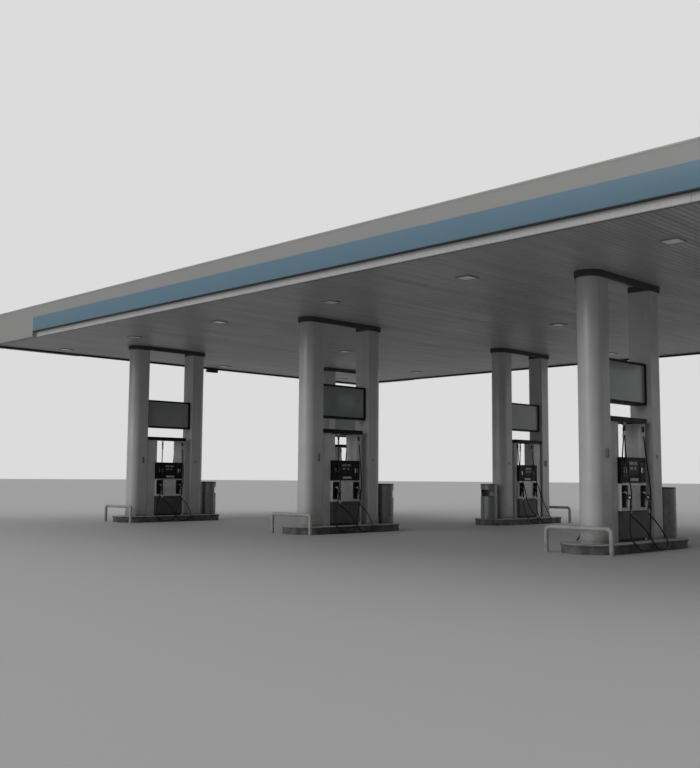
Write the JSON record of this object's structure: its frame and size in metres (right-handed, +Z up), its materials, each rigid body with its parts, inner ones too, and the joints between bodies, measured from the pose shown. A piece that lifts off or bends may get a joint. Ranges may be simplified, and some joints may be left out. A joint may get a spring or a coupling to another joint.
{
  "type": "filling station canopy",
  "caption": "Long flat canopy roof with a deep fascia, carried on paired columns over kerbed refuelling islands with dispensers, hoses and bins.",
  "frame": {"origin": "middle of the whole part's footprint, on the ground", "axes": "+X along the long fascia, +Y from the front fascia to the back fascia, +Z up"},
  "size_m": [31.452, 16.977, 6.417],
  "materials": {
    "concrete": "rough",
    "column_casing": "satin",
    "skirt": "satin",
    "dark_cap": "satin",
    "black_case": "gloss",
    "sign_glass": "gloss",
    "bracket_steel": "satin",
    "dispenser_grey": "satin",
    "plinth_black": "matte",
    "dark_cabinet": "satin",
    "moulded_black": "matte",
    "window_glass": "gloss",
    "swivel_metal": "satin",
    "hose_rubber": "matte",
    "spout_aluminium": "satin",
    "lever_steel": "satin",
    "rail_steel": "satin",
    "bin_steel": "satin",
    "bin_lid": "satin",
    "soffit_metal": "satin",
    "lamp_housing": "satin",
    "lamp_diffuser": "matte",
    "edge_trim": "satin",
    "fascia_grey": "satin",
    "band_blue": "satin",
    "strip_grey": "satin",
    "coping_metal": "satin",
    "deck_metal": "satin",
    "girder_steel": "matte"
  },
  "bodies": {
    "root": {"island_kerbs": "concrete", "outer_columns": "column_casing", "inner_columns": "column_casing", "column_skirts": "skirt", "column_caps": "dark_cap", "header_boxes": "dark_cap", "sign_cases": "black_case", "sign_panels": "sign_glass", "sign_brackets": "bracket_steel", "dispenser_pillars": "dispenser_grey", "dispenser_hoods": "black_case", "recess_plinths": "plinth_black", "lower_cabinets": "dark_cabinet", "holster_panels": "dispenser_grey", "nozzle_boots": "moulded_black", "display_heads": "black_case", "display_windows": "window_glass", "hose_outlets": "swivel_metal", "fuel_hoses": "hose_rubber", "nozzle_bodies": "moulded_black", "nozzle_spouts": "spout_aluminium", "nozzle_levers": "lever_steel", "guard_posts": "rail_steel", "guard_bars": "rail_steel", "bin_bodies": "bin_steel", "bin_hoods": "bin_steel", "bin_lids": "bin_lid", "device_boxes": "moulded_black", "soffit_panel": "soffit_metal", "lamp_bodies": "lamp_housing", "lamp_lenses": "lamp_diffuser", "edge_trims": "edge_trim", "upper_fascia": "fascia_grey", "blue_bands": "band_blue", "corner_panels": "fascia_grey", "lower_strips": "strip_grey", "copings": "coping_metal", "roof_deck": "deck_metal", "cross_girders": "girder_steel", "long_girders": "girder_steel", "edge_box": "moulded_black"}
  },
  "joints": []
}
